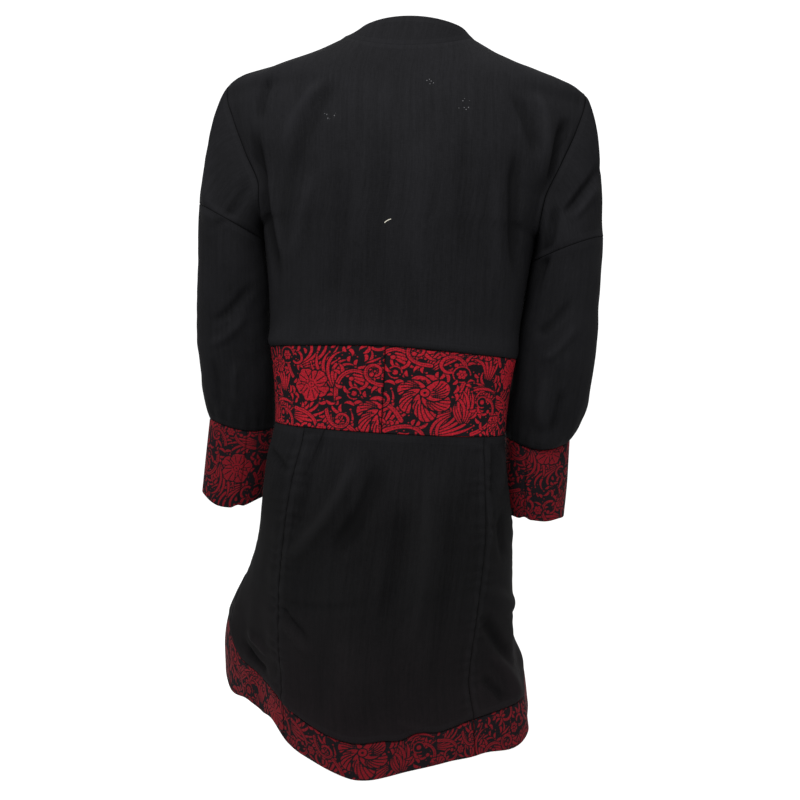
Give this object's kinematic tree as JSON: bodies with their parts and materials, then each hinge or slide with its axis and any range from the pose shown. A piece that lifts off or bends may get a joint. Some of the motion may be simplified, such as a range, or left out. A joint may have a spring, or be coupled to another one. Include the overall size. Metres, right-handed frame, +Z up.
{
  "type": "manteau coat",
  "caption": "Knee-length manteau coat of black cloth with a shaped neck band, a brocade waist band, brocade cuffs and a brocade hem, filled out as worn.",
  "frame": {"origin": "on the middle line between the shoulder points, at about the height of the neck seam at the sides, where the wearer's shoulders hold the coat", "axes": "+Z up along the coat, +X to the wearer's left, -Y to the wearer's front"},
  "size_m": [0.5259, 0.2856, 0.8931],
  "materials": {
    "black_cloth": "matte plain weave",
    "brocade": "woven pattern with a slight sheen"
  },
  "bodies": {
    "root": {"back_bodice": "black_cloth", "front_bodice_left": "black_cloth", "front_bodice_right": "black_cloth", "neck_band": "black_cloth", "skirt_back_centre": "black_cloth", "skirt_side_back_left": "black_cloth", "skirt_side_back_right": "black_cloth", "skirt_front_left": "black_cloth", "skirt_front_right": "black_cloth", "sleeve_upper_left": "black_cloth", "sleeve_lower_left": "black_cloth", "sleeve_upper_right": "black_cloth", "sleeve_lower_right": "black_cloth", "waist_band_back_left": "brocade", "waist_band_back_right": "brocade", "waist_band_front_left": "brocade", "waist_band_front_right": "brocade", "hem_band_back_centre": "brocade", "hem_band_side_back_left": "brocade", "hem_band_side_back_right": "brocade", "hem_band_front_left": "brocade", "hem_band_front_right": "brocade", "cuff_left": "brocade", "cuff_right": "brocade"}
  },
  "joints": []
}
